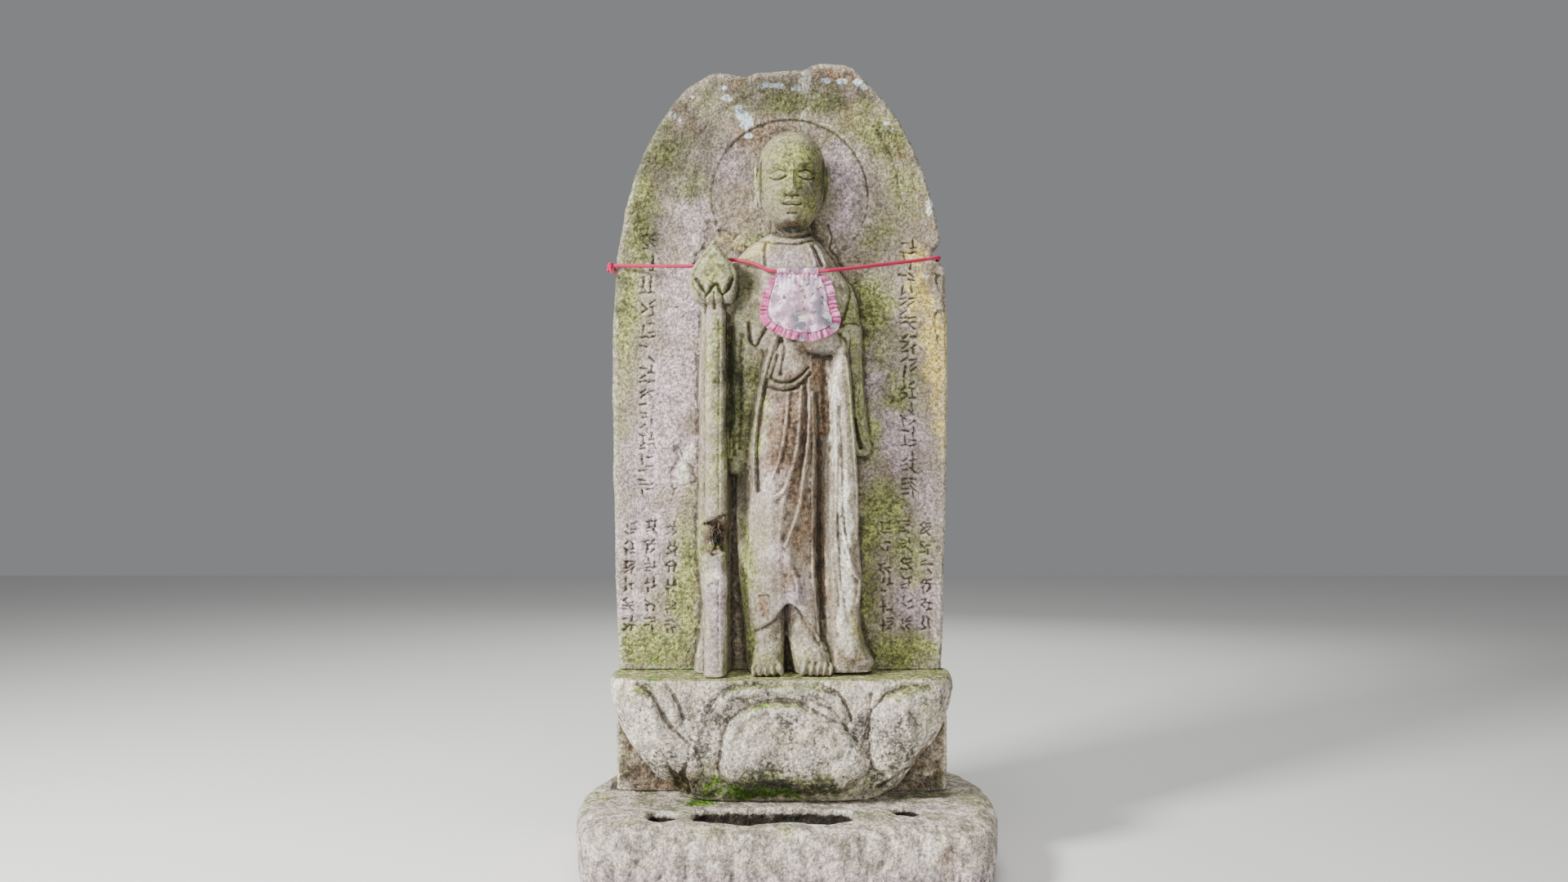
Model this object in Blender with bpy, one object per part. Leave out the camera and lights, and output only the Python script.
"""Jizo in high relief on a round-topped stone, standing on a lotus block and a base stone.

Metres, +Z up, the figure faces -Y. The origin is on the ground, under the middle of the
base stone. Three stones are stacked: base, lotus, and the stele with the figure carved
on it. A cloth bib hangs on a cord that is tied round the stele.

Positions on the stele use (x, depth, z): x from the stele's middle line, depth out from
its front face, z up from its foot. The figure's own forms are in figure units, which
are shares of the figure's height (FIGURE_UNITS of them, so about a millimetre each).
"""

import math

import bmesh
import bpy
from mathutils import Matrix, Vector

# Room left between stones and pieces that touch
TOUCH_GAP = 0.0003

# Base stone
BASE_WIDTH = 0.700
BASE_DEPTH = 0.420
BASE_HEIGHT = 0.110
BASE_CORNER = 0.060
BASE_SIDE_BOW = 0.022
BASE_BACK_BOW = 0.030
BASE_ARRIS = 0.020
BASIN_WIDTH = 0.262
BASIN_LENGTH = 0.078
BASIN_SINK = 0.034
BASIN_X = -0.022
BASIN_FROM_FRONT = 0.086
HOLE_SINK = 0.062
HOLE_LEFT_DIAMETER = 0.058
HOLE_RIGHT_DIAMETER = 0.046
HOLE_LEFT = (-0.196, 0.082)
HOLE_RIGHT = (0.192, 0.114)

# Lotus block: a petalled bowl in front of a square-cut rear block
LOTUS_HEIGHT = 0.205
LOTUS_X = -0.009
LOTUS_HALF_WIDTH = 0.288
LOTUS_FOOT_HALF_WIDTH = 0.172
LOTUS_OVERHANG = 0.112
LOTUS_FOOT_SETBACK = 0.044
LOTUS_BACK_HALF_WIDTH = 0.287
LOTUS_BEHIND_STELE = 0.022
PETAL_RISE = 0.013

# Stele
STELE_HEIGHT = 1.075
STELE_HALF_WIDTH = 0.296
STELE_FOOT_HALF_WIDTH = 0.280
STELE_THICKNESS = 0.125
STELE_FACE_Y = 0.022
STELE_X = -0.012
STELE_ARCH_FROM = 0.600
STELE_ARCH_POWER = 2.2
STELE_CROWN_LOST = 0.025
STELE_EDGE = 0.006
NOTCH_HEIGHT = 0.728
NOTCH_SINK = 0.020
HALO_X = 0.017
HALO_HEIGHT = 0.832
HALO_INNER_RADIUS = 0.139
HALO_OUTER_RADIUS = 0.197
HALO_SINK = 0.003
HALO_GROOVE = 0.005

# Figure
FIGURE_HEIGHT = 0.918
FIGURE_UNITS = 918
FIGURE_UNIT = FIGURE_HEIGHT / FIGURE_UNITS
EMBED = 12
# The chest as rows of z, left, right and depth, in figure units
CHEST = (
    (470, 2, 92, 60), (505, -14, 106, 74), (535, -40, 122, 80), (562, -84, 134, 84),
    (600, -99, 141, 87), (632, -98, 137, 86), (664, -93, 127, 82), (692, -86, 105, 77),
    (712, -78, 93, 71), (730, -62, 79, 64), (744, -42, 68, 56), (757, -22, 50, 46),
)
# The head's middle and half sizes, in figure units
HEAD_X = 21
HEAD_Z = 838
HEAD_DEPTH = 56
HEAD_HALF_X = 62
HEAD_HALF_Z = 87
HEAD_HALF_DEPTH = 66
# The hand under the bib: its depth and half depth, in figure units
HAND_DEPTH = 84
HAND_HALF_DEPTH = 31

# Bib and its cord
CORD_DIAMETER = 0.0055
CORD_HEIGHT = 0.678
CORD_OFF_STONE = 0.0015
CORD_OFF_CHEST = 0.0105
BIB_DROP = 0.126
BIB_HALF_WIDTH = 0.064
BIB_CASING_HALF = 0.042
BIB_X = 0.031
BIB_THICKNESS = 0.003
BIB_CURVE = 0.012
BIB_OFF_HAND = 0.009
CASING_WALL = 0.0016
HAND_BELOW_CORD = 0.116

# Levels that the stones share
LOTUS_FOOT_Z = BASE_HEIGHT + TOUCH_GAP
LOTUS_TOP_Z = LOTUS_FOOT_Z + LOTUS_HEIGHT
STELE_FOOT_Z = LOTUS_TOP_Z + TOUCH_GAP
BASE_FRONT_Y = -BASE_DEPTH / 2
STELE_BACK_Y = STELE_FACE_Y + STELE_THICKNESS

STONE_GREY = (0.33, 0.31, 0.27)
STONE_DARK = (0.30, 0.29, 0.25)
BIB_PINK = (0.72, 0.52, 0.55)
CORD_RED = (0.62, 0.03, 0.13)


def material(name, colour, roughness):
    made = bpy.data.materials.new(name)
    made.use_nodes = True
    shader = made.node_tree.nodes["Principled BSDF"]
    shader.inputs["Base Color"].default_value = (*colour, 1)
    shader.inputs["Roughness"].default_value = roughness
    shader.inputs["Metallic"].default_value = 0
    return made


def solid(name, points, faces, look=None):
    """One closed mesh, its faces turned outwards."""
    mesh = bpy.data.meshes.new(name)
    mesh.from_pydata([tuple(p) for p in points], [], faces)
    work = bmesh.new()
    work.from_mesh(mesh)
    bmesh.ops.recalc_face_normals(work, faces=work.faces)
    work.to_mesh(mesh)
    work.free()
    made = bpy.data.objects.new(name, mesh)
    bpy.context.scene.collection.objects.link(made)
    if look:
        mesh.materials.append(look)
        mesh.shade_smooth()
        mesh.set_sharp_from_angle(angle=math.radians(35))
    return made


def loft(name, rings, look=None):
    """A skin over rings of equal count, closed by a face at each end."""
    count = len(rings[0])
    points = [p for ring in rings for p in ring]
    faces = [list(range(count)), list(range(len(points) - count, len(points)))]
    for row in range(len(rings) - 1):
        for k in range(count):
            low, high = row * count, (row + 1) * count
            after = (k + 1) % count
            faces.append([low + k, low + after, high + after, high + k])
    return solid(name, points, faces, look)


def helper(made):
    """Marks a shape that only cuts or joins another."""
    made.hide_render = True
    made.display_type = "WIRE"
    return made


def boolean(target, other, operation):
    helper(other)
    step = target.modifiers.new(other.name, "BOOLEAN")
    step.operation = operation
    step.solver = "EXACT"
    step.object = other


def joined(target, others):
    """Unites a list of overlapping shapes with the target, as one stone."""
    group = bpy.data.collections.new(target.name + "_forms")
    for other in others:
        helper(other)
        group.objects.link(other)
    step = target.modifiers.new(group.name, "BOOLEAN")
    step.operation = "UNION"
    step.solver = "EXACT"
    step.operand_type = "COLLECTION"
    step.collection = group


def between(table, at):
    """Reads a table of rows by its first column, smoothly, as the other columns."""
    if at <= table[0][0]:
        return list(table[0][1:])
    if at >= table[-1][0]:
        return list(table[-1][1:])
    i = next(k for k in range(len(table) - 1) if at <= table[k + 1][0])
    t = (at - table[i][0]) / (table[i + 1][0] - table[i][0])
    before = table[max(i - 1, 0)]
    after = table[min(i + 2, len(table) - 1)]
    found = []
    for column in range(1, len(table[0])):
        a, b = table[i][column], table[i + 1][column]
        slope_a = (b - before[column]) / (table[i + 1][0] - before[0])
        slope_b = (after[column] - a) / (after[0] - table[i][0])
        span = table[i + 1][0] - table[i][0]
        found.append(
            (2 * t**3 - 3 * t**2 + 1) * a
            + (t**3 - 2 * t**2 + t) * slope_a * span
            + (3 * t**2 - 2 * t**3) * b
            + (t**3 - t**2) * slope_b * span
        )
    return found


def on_stele(x, depth, z):
    return Vector((STELE_X + x, STELE_FACE_Y - depth, STELE_FOOT_Z + z))


def figure(x, depth, z):
    """A place on the figure, in figure units."""
    u = FIGURE_UNIT
    return on_stele(x * u, depth * u, z * u)


def superellipse(half_x, half_y, power, count):
    """Points round a superellipse, which is a rounded oblong for a high power."""
    ring = []
    for k in range(count):
        angle = 2 * math.pi * k / count
        c, s = math.cos(angle), math.sin(angle)
        ring.append(
            (
                half_x * math.copysign(abs(c) ** (2 / power), c),
                half_y * math.copysign(abs(s) ** (2 / power), s),
            )
        )
    return ring


# Base stone


def base_outline(shrink):
    """The base stone in plan: a rounded oblong whose sides bow out."""
    half_x, half_y = BASE_WIDTH / 2 - shrink, BASE_DEPTH / 2 - shrink
    corner = BASE_CORNER
    flat_x = half_x - BASE_SIDE_BOW - corner
    flat_y = half_y - BASE_BACK_BOW / 2 - corner
    ring = []
    turns = 5
    for side_x, side_y, start in ((1, 1, 0), (-1, 1, 90), (-1, -1, 180), (1, -1, 270)):
        for k in range(turns):
            angle = math.radians(start + 90 * k / (turns - 1))
            ring.append(
                (
                    side_x * flat_x + corner * math.cos(angle),
                    side_y * flat_y + corner * math.sin(angle),
                )
            )
    bowed = []
    for i, (x, y) in enumerate(ring):
        bowed.append((x, y))
        after_x, after_y = ring[(i + 1) % len(ring)]
        if abs(after_x - x) > corner or abs(after_y - y) > corner:
            for share in (0.25, 0.5, 0.75):
                mid_x, mid_y = x + (after_x - x) * share, y + (after_y - y) * share
                bow = 4 * share * (1 - share)
                if abs(after_x - x) > abs(after_y - y):
                    mid_y += math.copysign(BASE_BACK_BOW / 2 * bow, mid_y)
                else:
                    mid_x += math.copysign(BASE_SIDE_BOW * bow, mid_x)
                bowed.append((mid_x, mid_y))
    return bowed


def bowl_cutter(name, half_x, half_y, power, count, top, sink, narrowing):
    """A hollow that narrows downwards to a rounded floor."""
    over = BASE_ARRIS
    levels = ((over, 1.0), (0, 1.0), (-0.55 * sink, narrowing), (-sink, 0.72 * narrowing))
    rings = []
    for level, share in levels:
        ring = superellipse(half_x * share, half_y * share, power, count)
        rings.append([Vector((x, y, top + level)) for x, y in ring])
    return loft(name, rings)


def base_stone(look):
    levels = (
        (0.0, 0.006),
        (0.45 * BASE_HEIGHT, 0.001),
        (BASE_HEIGHT - BASE_ARRIS, 0.0),
        (BASE_HEIGHT - 0.35 * BASE_ARRIS, 0.28 * BASE_ARRIS),
        (BASE_HEIGHT, BASE_ARRIS),
    )
    rings = []
    for z, shrink in levels:
        rings.append([Vector((x, y, z)) for x, y in base_outline(shrink)])
    stone = loft("base_stone", rings, look)
    basin = bowl_cutter(
        "basin_cut", BASIN_WIDTH / 2, BASIN_LENGTH / 2, 3.4, 28, BASE_HEIGHT, BASIN_SINK, 0.94
    )
    basin.location = (BASIN_X, BASE_FRONT_Y + BASIN_FROM_FRONT, 0)
    boolean(stone, basin, "DIFFERENCE")
    holes = (
        ("hole_left_cut", HOLE_LEFT, HOLE_LEFT_DIAMETER),
        ("hole_right_cut", HOLE_RIGHT, HOLE_RIGHT_DIAMETER),
    )
    for name, (x, from_front), diameter in holes:
        half = diameter / 2
        hole = bowl_cutter(name, half, half, 2, 16, BASE_HEIGHT, HOLE_SINK, 0.92)
        hole.location = (x, BASE_FRONT_Y + from_front, 0)
        boolean(stone, hole, "DIFFERENCE")
    return stone


# Lotus block


def petal_rise(x, z):
    """How far the petals stand out of the bowl, as a share. x and z are shares of the
    bowl's half width and height."""

    def arch(middle, half, foot, top):
        """Above zero inside an arch that stands on the bowl's foot."""
        offset = abs(x - middle) / half
        return min(1 - offset**2.6, (top - z) / (top - foot) - 0.62 * offset**2)

    def inside(amount, soft):
        return min(1, max(0, amount / soft))

    front = inside(arch(0.05, 0.37, 0.0, 0.84), 0.07)
    behind = 0.5 * inside(arch(-0.05, 0.53, 0.0, 1.16), 0.07)
    left_edge = -0.55 - 0.22 * max(0, z - 0.55) / 0.45 - 0.08 * max(0, 0.6 - z)
    left = inside(left_edge - x, 0.035)
    second_edge = -0.49 - 0.10 * max(0, z - 0.7) / 0.3
    second = 0.5 * inside(second_edge - x, 0.035)
    right_edge = 0.57 + 0.22 * max(0, z - 0.78) / 0.22
    right = inside(x - right_edge, 0.035)
    fade = min(1, z / 0.16)
    return fade * max(front, behind, left, second, right)


def lotus_front_ring(up, columns):
    """The petalled front in plan at a height share, from the left side round to the right."""
    down = 1 - up
    half = LOTUS_HALF_WIDTH - (LOTUS_HALF_WIDTH - LOTUS_FOOT_HALF_WIDTH) * down**2
    reach = LOTUS_OVERHANG - LOTUS_FOOT_SETBACK * down**1.6
    ring = []
    for k in range(columns + 1):
        across = -1 + 2 * k / columns
        x = half * math.sin(math.pi / 2 * math.copysign(abs(across) ** 1.15, across))
        y = STELE_FACE_Y - reach * (1 - abs(x / half) ** 5) ** (1 / 2.4)
        rise = PETAL_RISE * petal_rise(x / LOTUS_HALF_WIDTH, up)
        out = Vector((0.45 * (x / half) ** 3, -1, 0)).normalized()
        ring.append((LOTUS_X + x + out.x * rise, y + out.y * rise))
    return ring


def lotus_block(look):
    rings = []
    back = STELE_FACE_Y + LOTUS_BEHIND_STELE
    for up in (0, 0.10, 0.21, 0.33, 0.45, 0.56, 0.66, 0.75, 0.82, 0.89, 0.97, 1):
        inset = {1: 0.972, 0.97: 0.993}.get(up, 1.0)
        ring = []
        for x, y in lotus_front_ring(up, 50):
            ring.append((LOTUS_X + (x - LOTUS_X) * inset, STELE_FACE_Y + (y - STELE_FACE_Y) * inset))
        ring += [(ring[-1][0], back), (ring[0][0], back)]
        z = LOTUS_FOOT_Z + LOTUS_HEIGHT * up
        rings.append([Vector((x, y, z)) for x, y in ring])
    block = loft("lotus_block", rings, look)
    front, back = STELE_FACE_Y - 0.006, STELE_BACK_Y + LOTUS_BEHIND_STELE
    half_y = (back - front) / 2
    plan = superellipse(LOTUS_BACK_HALF_WIDTH, half_y, 14, 24)
    rear = []
    for up, shrink in ((0, 0.0), (0.5, 0.0), (0.96, 0.002), (1.0, 0.010)):
        share_x = 1 - shrink / LOTUS_BACK_HALF_WIDTH
        share_y = 1 - shrink / half_y
        z = LOTUS_FOOT_Z + LOTUS_HEIGHT * up
        ring = []
        for x, y in plan:
            ring.append(Vector((LOTUS_X + x * share_x, front + half_y + y * share_y, z)))
        rear.append(ring)
    boolean(block, loft("lotus_back", rear), "UNION")
    return block


# Stele


def stele_half_width(z):
    """Half the slab's width at a height, up to where the arch starts."""
    share = min(1, z / STELE_ARCH_FROM)
    grow = math.sin(share * math.pi / 2)
    return STELE_FOOT_HALF_WIDTH + (STELE_HALF_WIDTH - STELE_FOOT_HALF_WIDTH) * grow


def stele_outline():
    """The front outline, from the foot's left corner over the broken crown to the right."""
    rise = STELE_HEIGHT + STELE_CROWN_LOST - STELE_ARCH_FROM
    left = [(-stele_half_width(z), z) for z in (0, 0.15, 0.32, 0.48)]
    arch = []
    for angle in (0, 12, 22, 31, 39, 46, 52, 58, 63, 67):
        c, s = math.cos(math.radians(angle)), math.sin(math.radians(angle))
        arch.append(
            (
                STELE_HALF_WIDTH * c ** (2 / STELE_ARCH_POWER),
                STELE_ARCH_FROM + rise * s ** (2 / STELE_ARCH_POWER),
            )
        )
    # Share of the half width, and how far below the highest point the break lies
    broken = (
        (-0.42, 0.019), (-0.36, 0.017), (-0.29, 0.020), (-0.22, 0.024), (-0.15, 0.018),
        (-0.05, 0.015), (0.05, 0.014), (0.14, 0.012), (0.18, 0.005), (0.22, 0.001),
        (0.31, 0.000), (0.39, 0.003), (0.45, 0.010),
    )
    crown = [(x * STELE_HALF_WIDTH, STELE_HEIGHT - drop) for x, drop in broken]
    lowest = min(z for _, z in crown)
    left += [(-x, z) for x, z in arch if z < lowest - 0.01]
    right = [(x, z) for x, z in reversed(arch) if z < lowest - 0.01]
    notch = []
    for dz, share in ((0.024, 0), (0.010, 0.9), (-0.008, 1.0), (-0.017, 0.25), (-0.026, 0)):
        z = NOTCH_HEIGHT + dz
        bare = ((z - STELE_ARCH_FROM) / rise) ** STELE_ARCH_POWER
        edge = STELE_HALF_WIDTH * (1 - bare) ** (1 / STELE_ARCH_POWER)
        notch.append((edge - NOTCH_SINK * share, z))
    clear = 0.012
    above = [p for p in right if p[1] > notch[0][1] + clear]
    below = [p for p in right if p[1] < notch[-1][1] - clear]
    foot = [(stele_half_width(z), z) for z in (0.48, 0.32, 0.15, 0)]
    return left + crown + above + notch + below + foot


def stele_slab(look):
    """The slab: a flat face with a worn edge and a rough back that swells out."""
    outline = stele_outline()
    middle = STELE_HEIGHT * 0.46
    # Depth behind the face as a share of the thickness, and the outline's shrink there
    layers = (
        (0.0, STELE_EDGE), (STELE_EDGE / STELE_THICKNESS, 0.0), (0.52, 0.002),
        (0.80, 0.030), (0.94, 0.085), (1.0, 0.160),
    )
    rings = []
    for share, shrink in layers:
        ring = []
        for x, z in outline:
            toward_x = 1 - shrink / STELE_HALF_WIDTH
            toward_z = 1 - shrink / (STELE_HEIGHT - middle)
            high = middle + (z - middle) * toward_z if z > middle else z
            lean = 1 - 0.22 * (z / STELE_HEIGHT) * share
            ring.append(on_stele(x * toward_x, -STELE_THICKNESS * share * lean, high))
        rings.append(ring)
    slab = loft("stele", rings, look)
    return slab


def disc(name, radius, low, high, count):
    """A round cutter through the slab's face, round the halo's middle."""
    rings = []
    for depth in (low, high):
        ring = []
        for k in range(count):
            angle = 2 * math.pi * k / count
            x = HALO_X + radius * math.cos(angle)
            ring.append(on_stele(x, depth, HALO_HEIGHT + radius * math.sin(angle)))
        rings.append(ring)
    return loft(name, rings)


def halo_cuts(slab):
    """The halo: a sunk disc behind the head, and a ring cut round it."""
    boolean(slab, disc("halo_disc", HALO_INNER_RADIUS, -HALO_SINK, 0.02, 40), "DIFFERENCE")
    count = 44
    points, faces = [], []
    inner = HALO_OUTER_RADIUS - HALO_GROOVE
    for k in range(count):
        angle = 2 * math.pi * k / count
        for radius, depth in (
            (inner, -HALO_SINK), (HALO_OUTER_RADIUS, -HALO_SINK / 2),
            (HALO_OUTER_RADIUS, 0.01), (inner, 0.01),
        ):
            x = HALO_X + radius * math.cos(angle)
            points.append(on_stele(x, depth, HALO_HEIGHT + radius * math.sin(angle)))
        for side in range(4):
            here, there = k * 4, (k + 1) % count * 4
            after = (side + 1) % 4
            faces.append([here + side, here + after, there + after, there + side])
    boolean(slab, solid("halo_ring", points, faces), "DIFFERENCE")


# Figure, in figure units


def panel(name, grid):
    """A closed form from rows of (x, depth, z): the carved front, and a flat back in the slab."""
    rows, columns = len(grid), len(grid[0])
    points = [figure(*place) for row in grid for place in row]
    behind = {}

    def back(row, column):
        if (row, column) not in behind:
            x, _, z = grid[row][column]
            behind[row, column] = len(points)
            points.append(figure(x, -EMBED, z))
        return behind[row, column]

    def front(row, column):
        return row * columns + column

    faces = []
    for row in range(rows - 1):
        for k in range(columns - 1):
            low, high = front(row, k), front(row + 1, k)
            faces.append([low, low + 1, high + 1, high])
        for k in (0, columns - 1):
            faces.append([front(row, k), front(row + 1, k), back(row + 1, k), back(row, k)])
    for k in range(columns - 1):
        for row in (0, rows - 1):
            faces.append([front(row, k), front(row, k + 1), back(row, k + 1), back(row, k)])
    rim = [back(0, k) for k in range(columns)]
    rim += [back(row, columns - 1) for row in range(1, rows)]
    rim += [back(rows - 1, k) for k in range(columns - 2, -1, -1)]
    rim += [back(row, 0) for row in range(rows - 2, 0, -1)]
    faces.append(rim)
    return solid(name, points, faces)


def relief(name, table, columns, power, folds=None):
    """A rounded form on the slab, a row for each of the table's z, left, right and depth."""
    grid = []
    for z, left, right, front in table:
        middle, half = (left + right) / 2, (right - left) / 2
        row = []
        for k in range(columns + 1):
            u = -math.cos(math.pi * k / columns)
            x = middle + half * u
            depth = front * max(0, 1 - abs(u) ** power) ** (1 / power)
            if folds:
                depth += folds(x, z) * (1 - abs(u) ** 6)
            row.append((x, depth, z))
        grid.append(row)
    return panel(name, grid)


def draped(name, lines, top, shares):
    """Cloth hung in folds. Each line runs up a fold: where it starts, then (z, x, depth)."""
    grid = []
    for share in shares:
        row = []
        for foot, table in lines:
            z = foot + (top - foot) * share
            x, depth = between(table, z)
            row.append((x, depth, z))
        grid.append(row)
    return panel(name, grid)


def mound(name, x, depth, z, half_x, half_depth, half_z, around=10, rings=6, tilt=0):
    """An egg-shaped form. tilt turns it in the plane of the slab, in degrees."""
    work = bmesh.new()
    bmesh.ops.create_uvsphere(work, u_segments=around, v_segments=rings, radius=1)
    size = Matrix.Diagonal((half_x, half_depth, half_z, 1)) * FIGURE_UNIT
    size[3][3] = 1
    turn = Matrix.Rotation(math.radians(-tilt), 4, "Y")
    bmesh.ops.transform(work, matrix=turn @ size, verts=work.verts)
    mesh = bpy.data.meshes.new(name)
    work.to_mesh(mesh)
    work.free()
    made = bpy.data.objects.new(name, mesh)
    bpy.context.scene.collection.objects.link(made)
    mesh.transform(Matrix.Translation(figure(x, depth, z)))
    return made


def skirt():
    """The robe below the waist: from its left side over the knee into the deep valley."""
    lines = (
        (4, ((4, -58, 2), (90, -64, 2), (170, -74, 2), (285, -77, 2), (370, -76, 2), (520, -70, 2))),
        (4, ((4, -54, 26), (90, -60, 30), (170, -70, 36), (285, -73, 38), (520, -66, 42))),
        (30, ((30, -48, 40), (90, -51, 46), (173, -57, 52), (255, -54, 57), (375, -49, 60),
              (475, -37, 62), (523, -25, 66), (566, -12, 72))),
        (70, ((70, -44, 48), (173, -53, 62), (255, -49, 67), (375, -44, 70), (475, -32, 72),
              (523, -20, 76), (566, -8, 80))),
        (80, ((80, -30, 62), (147, -38, 72), (229, -34, 79), (310, -28, 83), (420, -21, 85),
              (566, 0, 84))),
        (91, ((91, -16, 75), (148, -18, 83), (229, -16, 89), (310, -11, 93), (420, -2, 93),
              (566, 8, 90))),
        (108, ((108, -2, 78), (202, -6, 87), (270, -3, 91), (310, 0, 92), (345, 14, 93),
               (395, 23, 94), (566, 28, 92))),
        (116, ((116, 4, 79), (202, -1, 89), (270, 4, 94), (310, 9, 95), (345, 23, 96),
               (395, 32, 97), (450, 35, 93), (566, 38, 92))),
        (122, ((122, 9, 77), (202, 3, 84), (270, 8, 89), (310, 14, 90), (345, 28, 90),
               (395, 37, 90), (450, 40, 88), (566, 42, 91))),
        (124, ((124, 18, 77), (175, 9, 83), (222, 10, 87), (276, 28, 87), (351, 39, 87),
               (450, 47, 85), (566, 48, 90))),
        (118, ((118, 27, 78), (175, 16, 86), (222, 17, 90), (276, 34, 91), (351, 45, 91),
               (450, 52, 89), (566, 53, 90))),
        (112, ((112, 34, 74), (175, 24, 79), (222, 27, 81), (276, 40, 80), (351, 50, 79),
               (450, 56, 80), (566, 58, 88))),
        (84, ((84, 56, 62), (174, 53, 68), (310, 54, 71), (393, 58, 74), (475, 61, 76),
              (566, 66, 88))),
        (72, ((72, 62, 48), (174, 59, 56), (310, 60, 58), (393, 63, 62), (475, 65, 70),
              (566, 71, 88))),
        (30, ((30, 72, 30), (172, 68, 38), (311, 69, 41), (394, 71, 47), (477, 72, 62),
              (566, 77, 88))),
        (4, ((4, 88, 44), (174, 79, 62), (311, 77, 64), (476, 78, 72), (566, 84, 88))),
        (4, ((4, 94, 62), (174, 88, 73), (311, 84, 74), (476, 86, 80), (566, 92, 90))),
        (4, ((4, 112, 64), (175, 106, 74), (311, 102, 78), (476, 100, 88), (566, 104, 92))),
        (4, ((4, 114, 2), (566, 106, 2))),
    )
    shares = (0, 0.06, 0.13, 0.21, 0.3, 0.39, 0.48, 0.57, 0.66, 0.75, 0.84, 0.93, 1)
    return draped("skirt", lines, 560, shares)


def ridge(x, z, line, width, height):
    """A fold that runs along a line of (z, x) points, fading at its ends."""
    low, high = line[0][0], line[-1][0]
    if not low <= z <= high:
        return 0
    (middle,) = between(line, z)
    fade = min(1, (z - low) / 25, (high - z) / 25)
    return height * fade * math.exp(-(((x - middle) / width) ** 2))


def chest_folds(x, z):
    """The open collar's edge, and the fold along the other arm."""
    collar = ((600, -26), (690, -24), (760, -18))
    arm = ((560, 112), (640, 118), (720, 108))
    return ridge(x, z, collar, 8, 4) + ridge(x, z, arm, 10, 4)


def torso():
    return relief("torso", CHEST, 16, 2.7, chest_folds)


def head_front(z):
    """How far out the head reaches at a height, in figure units. None of it is below the chin."""
    share = (z - HEAD_Z) / HEAD_HALF_Z
    if abs(share) >= 1:
        return 0
    out = math.sqrt(1 - share**2) ** 0.88
    return HEAD_DEPTH + HEAD_HALF_DEPTH * (out * (1 - 0.08 * share**2) + face_depth(0, share))


def cord_depth():
    """How far the cord lies in front of the slab at the bib: clear of the chest and the chin."""
    z = CORD_HEIGHT / FIGURE_UNIT
    casing = (CORD_DIAMETER / 2 + TOUCH_GAP + CASING_WALL) / FIGURE_UNIT
    behind = max(between(CHEST, z)[2], head_front(z + casing), head_front(z - casing))
    return behind * FIGURE_UNIT + CORD_OFF_CHEST


def sleeves():
    """The sleeve that hangs from the raised hand, and the one over the other forearm."""
    raised_arm = (
        (338, -80, -64, 40), (340, -88, -55, 48), (346, -93, -47, 52), (360, -95, -40, 55),
        (394, -96, -35, 58), (450, -96, -24, 61), (506, -96, -12, 66), (562, -97, 2, 76),
        (620, -99, 0, 80), (700, -88, -40, 66),
    )
    outer = (
        (370, 134, 147, 22), (374, 127, 156, 30), (386, 121, 159, 33), (421, 112, 153, 42),
        (477, 104, 147, 56), (533, 96, 144, 70), (572, 90, 144, 82), (588, 88, 143, 84),
        (597, 90, 140, 76),
    )
    return [
        relief("raised_sleeve", raised_arm, 9, 2.4),
        relief("outer_sleeve", outer, 9, 2.8),
    ]


def drape():
    """The long end of the robe that falls from the forearm to the lotus."""
    lines = (
        (6, ((6, 98, 50), (60, 93, 64), (175, 100, 72), (283, 97, 78), (365, 90, 84), (529, 88, 92),
             (565, 90, 90), (600, 96, 60))),
        (4, ((4, 104, 58), (60, 98, 70), (175, 105, 78), (283, 103, 83), (365, 96, 88),
             (529, 94, 98), (560, 97, 97), (600, 104, 66))),
        (4, ((4, 116, 60), (60, 108, 72), (120, 112, 76), (175, 112, 81), (283, 110, 85),
             (365, 106, 92), (529, 101, 102), (560, 104, 101), (600, 110, 68))),
        (4, ((4, 132, 60), (50, 120, 70), (120, 124, 73), (155, 130, 78), (202, 118, 84),
             (260, 107, 89), (365, 113, 94), (529, 105, 101), (560, 109, 101), (600, 116, 68))),
        (4, ((4, 148, 56), (30, 146, 61), (50, 132, 64), (90, 130, 68), (120, 131, 71),
             (155, 138, 72), (202, 130, 76), (260, 126, 80), (365, 121, 90), (460, 119, 92),
             (529, 111, 97), (560, 116, 97), (600, 124, 66))),
        (4, ((4, 158, 36), (30, 157, 46), (50, 138, 50), (90, 134, 54), (120, 133, 58),
             (155, 139, 62), (202, 134, 66), (310, 132, 72), (392, 129, 80), (460, 122, 84),
             (529, 113, 88), (560, 119, 88), (600, 128, 58))),
        (4, ((4, 160, 2), (30, 158, 2), (60, 142, 2), (202, 138, 2), (460, 126, 2), (592, 132, 2))),
    )
    shares = (0, 0.03, 0.07, 0.12, 0.18, 0.25, 0.33, 0.43, 0.55, 0.68, 0.8, 0.92, 1)
    return draped("drape", lines, 588, shares)


def hands():
    """The hand with the jewel under the bib, and the fist round the staff."""
    low = (CORD_HEIGHT - HAND_BELOW_CORD) / FIGURE_UNIT
    forms = [
        mound("jewel_hand", 65, HAND_DEPTH, low, 40, HAND_HALF_DEPTH, 27, 12, 8, tilt=-18),
        mound("jewel", 52, HAND_DEPTH + 10, low + 24, 20, 18, 22, 10, 6),
        mound("fist", -115, 60, 642, 35, 37, 24, 10, 6),
        mound("raised_forearm", -80, 40, 630, 32, 34, 30, 10, 6),
    ]
    for k, x in enumerate((-137, -123, -108, -93)):
        forms.append(mound(f"finger_{k}", x, 86, 639 + 2 * abs(k - 1.5), 9, 18, 17, 8, 6))
    return forms


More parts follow.
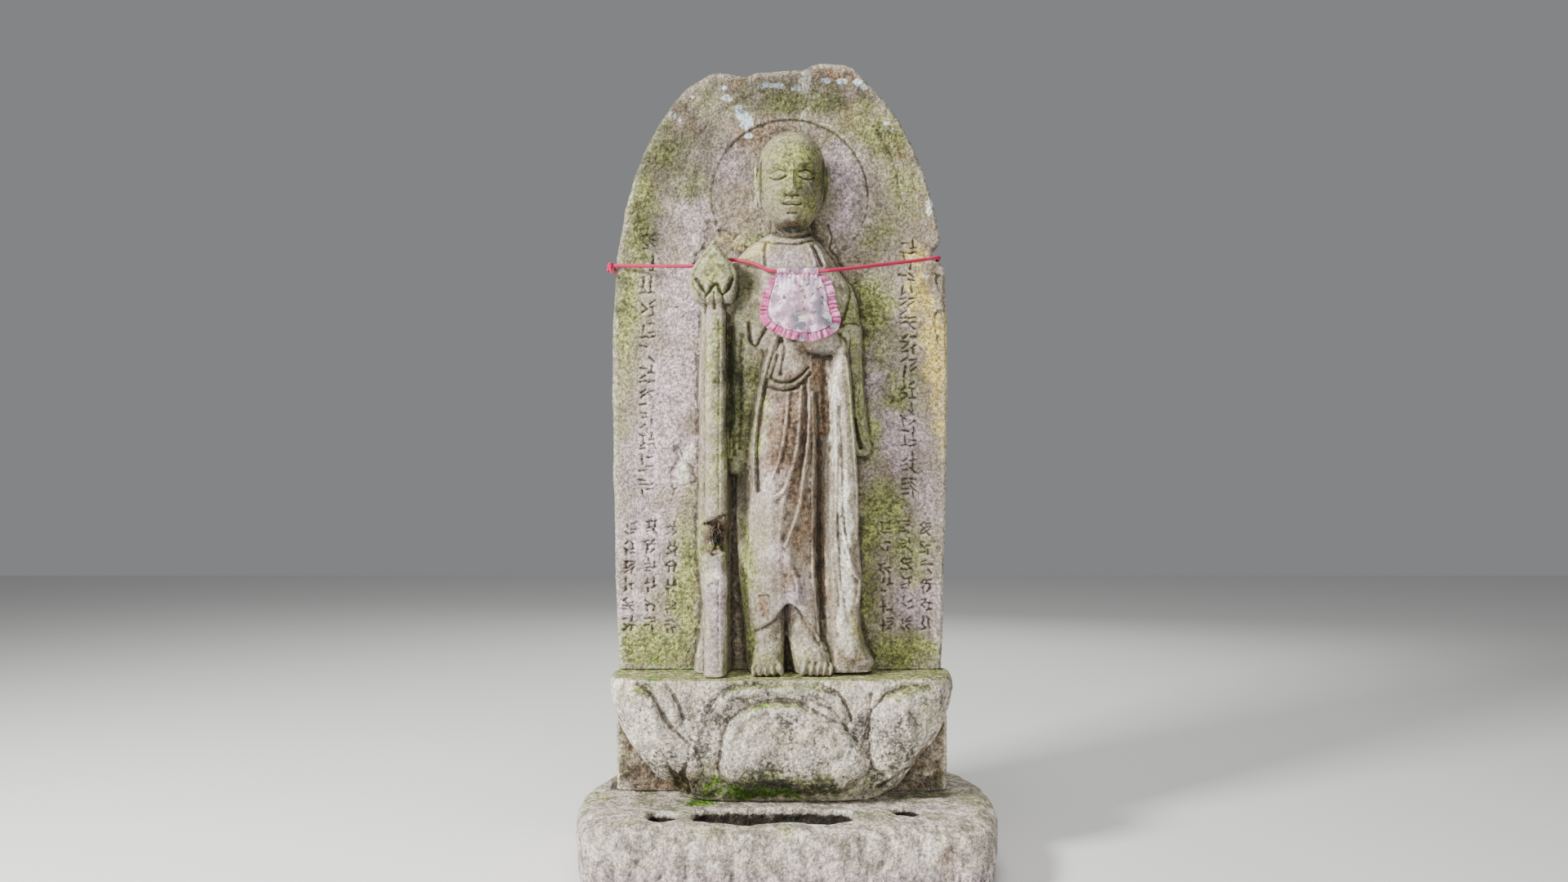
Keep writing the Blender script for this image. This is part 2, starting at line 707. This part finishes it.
def staff():
    """The monk's staff: a squared shaft with a broken length, on a thin web of stone."""
    shaft = (
        (0, -129, -87, 90), (90, -128, -88, 90), (168, -128, -89, 89), (176, -127, -90, 82),
        (204, -127, -91, 79), (232, -127, -91, 75), (254, -127, -91, 76), (262, -128, -89, 90),
        (400, -128, -89, 91), (520, -128, -89, 91), (622, -127, -91, 88),
    )
    web = (
        (0, -150, -82, 50), (60, -140, -84, 42), (115, -135, -84, 40), (213, -146, -84, 42),
        (311, -142, -84, 44), (524, -144, -84, 44), (630, -138, -84, 46),
    )
    return [
        relief("shaft", shaft, 8, 5),
        relief("web", web, 5, 3),
    ]


def staff_head():
    """The leaf-shaped head. It stands clear of the slab, so that the cord passes behind."""
    middle = -112
    leaf = (
        (734, 0.5), (722, 8), (706, 21), (691, 32), (676, 39), (662, 41.5), (648, 41),
        (634, 38), (624, 31),
    )
    outline = [(x, z) for z, x in leaf] + [(-x, z) for z, x in reversed(leaf[1:])]
    rings = []
    for depth, share in ((68, 0.84), (74, 0.96), (86, 1.0), (94, 0.94), (99, 0.74)):
        ring = []
        for x, z in outline:
            ring.append(figure(middle + x * share, depth, 672 + (z - 672) * share))
        rings.append(ring)
    return loft("staff_head", rings)


def bump(x, z, at_x, at_z, wide, high):
    return math.exp(-(((x - at_x) / wide) ** 2) - ((z - at_z) / high) ** 2)


def face_depth(x, z):
    """Carving of a calm, plain face. x and z are shares of the head's half width and height."""
    side = abs(x)
    depth = 0.09 * bump(x, z, 0, -0.22, 0.14, 0.20)
    depth += 0.05 * bump(x, z, 0, -0.33, 0.18, 0.09)
    depth -= 0.025 * bump(side, z, 0.42, 0.00, 0.26, 0.14)
    depth += 0.03 * bump(x, z, 0, -0.58, 0.25, 0.09)
    depth += 0.04 * bump(x, z, 0, -0.84, 0.26, 0.10)
    depth += 0.02 * bump(side, z, 0.46, -0.38, 0.24, 0.20)
    return depth


def head():
    """The shaven head, its pole at the face so that the facets are finest there."""
    around = 28
    rings = []
    for angle in (5, 12, 19, 27, 35, 43, 52, 62, 74, 90, 108, 132, 156):
        a = math.radians(angle)
        ring = []
        for k in range(around):
            turn = 2 * math.pi * k / around
            cx, cz = math.cos(turn), math.sin(turn)
            x = math.sin(a) * math.copysign(abs(cx) ** (2 / 2.25), cx)
            z = math.sin(a) * math.copysign(abs(cz) ** (2 / 2.25), cz)
            jaw = 1 - 0.30 * max(0, -z) ** 2.2
            out = math.copysign(abs(math.cos(a)) ** 0.88, math.cos(a))
            carved = face_depth(x * jaw, z) if out > 0 else 0
            depth = HEAD_DEPTH + HEAD_HALF_DEPTH * (out * (1 - 0.08 * z**2) + carved)
            ring.append(figure(HEAD_X + HEAD_HALF_X * x * jaw, depth, HEAD_Z + HEAD_HALF_Z * z))
        rings.append(ring)
    neck = ((738, -30, 70, 60), (752, -20, 60, 58), (775, -14, 54, 56), (800, -14, 54, 54))
    return [
        loft("head", rings),
        mound("ear_left", HEAD_X - 61, 42, 832, 8, 18, 38, 8, 6, tilt=4),
        mound("ear_right", HEAD_X + 61, 42, 832, 8, 18, 38, 8, 6, tilt=-4),
        relief("neck", neck, 8, 2.2),
    ]


def legs():
    """The legs under the hem, each spreading into a foot with five toes."""
    left = (
        (0, -54, 10, 66), (14, -53, 10, 73), (30, -51, 9, 68), (60, -50, 9, 61),
        (90, -47, 9, 59), (125, -40, 9, 60),
    )
    right = (
        (0, 22, 102, 62), (14, 19, 99, 72), (32, 17, 90, 73), (60, 13, 74, 66),
        (95, 13, 56, 64), (128, 14, 42, 64),
    )
    forms = [relief("leg_left", left, 8, 2.6), relief("leg_right", right, 8, 2.6)]
    left_toes = ((-44, 7, 7), (-34, 8, 8), (-23, 9, 8), (-12, 10, 8), (1, 11, 9))
    right_toes = ((40, 14, 11), (53, 13, 8), (64, 12, 8), (74, 11, 7), (84, 9, 7))
    for side, toes, reach in (("left", left_toes, 62), ("right", right_toes, 64)):
        for k, (x, z, half) in enumerate(toes):
            middle = 0.5 * (toes[0][0] + toes[-1][0])
            drop = 0.004 * (x - middle) ** 2
            lean = 14 if side == "left" else -12
            forms.append(
                mound(f"toe_{side}_{k}", x, reach - drop, z, half * 0.68, 25, z + 3, 6, 5, lean)
            )
    return forms


def keep_above_foot(slab):
    """Trims what reaches under the stele's flat foot."""
    low = STELE_FOOT_Z - 0.05
    corners = []
    for z in (low, STELE_FOOT_Z):
        corners.append(
            [
                Vector((x, y, z))
                for x, y in ((-0.4, -0.3), (0.4, -0.3), (0.4, 0.3), (-0.4, 0.3))
            ]
        )
    boolean(slab, loft("below_foot", corners), "DIFFERENCE")


def stele(look):
    slab = stele_slab(look)
    halo_cuts(slab)
    forms = [skirt(), torso(), drape(), staff_head()] + sleeves() + hands() + staff()
    joined(slab, forms + head() + legs())
    keep_above_foot(slab)
    return slab


# Bib and cord


def cord_route():
    """Round the stele from the knot at the left edge: across the front, then the back. In
    figure units, as (x, depth, z)."""
    half = STELE_HALF_WIDTH / FIGURE_UNIT
    off = (CORD_DIAMETER / 2 + CORD_OFF_STONE) / FIGURE_UNIT
    back = -STELE_THICKNESS * 0.88 / FIGURE_UNIT - off
    middle = BIB_X / FIGURE_UNIT
    straight = BIB_CASING_HALF / FIGURE_UNIT + 3
    bend = straight + 10
    depth = cord_depth() / FIGURE_UNIT
    high = CORD_HEIGHT / FIGURE_UNIT
    notch = NOTCH_HEIGHT / FIGURE_UNIT
    front = [
        (-half + 3, off, 706),
        (-half + 40, 12.5, 704),
        (-200, 29, 700),
        (-150, 43.5, 697),
        (-112, 52, 699),
        (-92, 59, 703.5),
        (-72, 70, 700.5),
        (-45, depth - 8, high + 14.5),
        (middle - bend, depth - 1.5, high + 3.5),
        (middle - straight, depth, high),
        (middle - straight / 2, depth, high),
        (middle + straight / 2, depth, high),
        (middle + straight, depth, high),
        (middle + bend, depth - 1.5, high + 1.5),
        (124, depth - 19, high + 9),
        (160, 55, 695),
        (208, 34, 705),
        (250, 16, 714),
    ]
    sides = [
        (half - 16, 1.5, notch - 6.5),
        (half - 15, -30, notch - 6.5),
        (half - 16, -64, notch - 7.5),
        (half - 34, -88, notch - 9.5),
        (half - 82, -107.5, 716),
        (130, back, 712),
        (-130, back, 708),
        (-half + 82, -107.5, 706),
        (-half + 24, -88, 706),
        (-half, -60, 706),
        (-half - 1, -30, 706),
        (-half - 1, -13, 706),
    ]
    return front + sides


def smooth_route(points, per_span):
    """A smooth curve through the points, as a list of places."""
    places = [figure(*p) for p in points]
    found = []
    for i in range(len(places) - 1):
        before = places[max(i - 1, 0)]
        a, b = places[i], places[i + 1]
        after = places[min(i + 2, len(places) - 1)]
        for k in range(per_span):
            t = k / per_span
            found.append(
                0.5
                * (
                    2 * a
                    + (b - before) * t
                    + (2 * before - 5 * a + 4 * b - after) * t**2
                    + (3 * a - before - 3 * b + after) * t**3
                )
            )
    return found + [places[-1]]


def tube(name, places, radius, look=None):
    curve = bpy.data.curves.new(name, "CURVE")
    curve.dimensions = "3D"
    curve.bevel_depth = radius
    curve.bevel_resolution = 2
    curve.use_fill_caps = True
    line = curve.splines.new("POLY")
    line.points.add(len(places) - 1)
    for point, place in zip(line.points, places):
        point.co = (*place, 1)
    made = bpy.data.objects.new(name, curve)
    bpy.context.scene.collection.objects.link(made)
    if look:
        curve.materials.append(look)
    return made


def bib_cord(look):
    tube("bib_cord", smooth_route(cord_route(), 2), CORD_DIAMETER / 2, look)


def cord_knot(look):
    """A double turn of the cord at the stele's left edge, just outside the tube's two ends."""
    size = CORD_DIAMETER * 1.05
    work = bmesh.new()
    bmesh.ops.create_uvsphere(work, u_segments=10, v_segments=7, radius=size)
    mesh = bpy.data.meshes.new("cord_knot")
    work.to_mesh(mesh)
    work.free()
    mesh.materials.append(look)
    mesh.shade_smooth()
    knot = bpy.data.objects.new("cord_knot", mesh)
    bpy.context.scene.collection.objects.link(knot)
    x = -STELE_HALF_WIDTH - size * 0.62
    knot.location = on_stele(x, CORD_DIAMETER * 0.75, 706 * FIGURE_UNIT)


def bib_half_width(down):
    """Half the bib's width at a share of its drop, from the casing to the rounded foot."""
    table = (
        (0.0, BIB_CASING_HALF * 0.98), (0.18, BIB_HALF_WIDTH * 0.86), (0.5, BIB_HALF_WIDTH),
        (0.78, BIB_HALF_WIDTH * 0.90), (0.93, BIB_HALF_WIDTH * 0.62), (1.0, BIB_HALF_WIDTH * 0.30),
    )
    return between(table, down)[0]


def bib(look):
    """A plain plate in the bib's place, with the casing that the cord runs through."""
    radius = CORD_DIAMETER / 2
    outer = radius + TOUCH_GAP + CASING_WALL
    top_depth = cord_depth()
    foot_depth = (HAND_DEPTH + HAND_HALF_DEPTH) * FIGURE_UNIT + BIB_OFF_HAND
    rows, columns = 9, 8
    front, behind = [], []
    for row in range(rows + 1):
        down = row / rows
        half = bib_half_width(down)
        for k in range(columns + 1):
            across = -1 + 2 * k / columns
            x = BIB_X + half * across
            lean = (foot_depth - top_depth) * math.sin(down * math.pi / 2)
            depth = top_depth + lean - BIB_CURVE * (across * half / BIB_HALF_WIDTH) ** 2
            z = CORD_HEIGHT - BIB_DROP * down
            front.append(on_stele(x, depth + BIB_THICKNESS / 2, z))
            behind.append(on_stele(x, depth - BIB_THICKNESS / 2, z))
    points = front + behind
    wide, shift = columns + 1, len(front)
    faces = []
    for row in range(rows):
        for k in range(columns):
            a, b = row * wide + k, row * wide + k + 1
            faces.append([a, b, b + wide, a + wide])
            faces.append([shift + i for i in (a, a + wide, b + wide, b)])
    rim = [k for k in range(columns)]
    rim += [row * wide + columns for row in range(rows)]
    rim += [rows * wide + k for k in range(columns, 0, -1)]
    rim += [row * wide for row in range(rows, 0, -1)]
    for i, a in enumerate(rim):
        b = rim[(i + 1) % len(rim)]
        faces.append([a, a + shift, b + shift, b])
    plate = solid("bib", points, faces, look)
    casing = [on_stele(BIB_X + side * BIB_CASING_HALF, top_depth, CORD_HEIGHT) for side in (-1, 1)]
    rounds = []
    for name, size, reach in (("casing", outer, 0), ("casing_bore", radius + TOUCH_GAP, 0.01)):
        ends = []
        for place, side in zip(casing, (-1, 1)):
            ring = []
            for k in range(12):
                angle = 2 * math.pi * k / 12
                ring.append(
                    place
                    + Vector((side * reach, size * math.cos(angle), size * math.sin(angle)))
                )
            ends.append(ring)
        rounds.append(loft(name, ends))
    boolean(plate, rounds[0], "UNION")
    boolean(plate, rounds[1], "DIFFERENCE")
    return plate


def main():
    for old in list(bpy.data.objects):
        bpy.data.objects.remove(old)
    stone = material("grey_stone", STONE_GREY, 0.93)
    base = material("basin_stone", STONE_DARK, 0.95)
    base_stone(base)
    lotus_block(stone)
    stele(stone)
    cord = material("red_cord", CORD_RED, 0.75)
    bib_cord(cord)
    cord_knot(cord)
    bib(material("bib_cotton", BIB_PINK, 0.9))


main()
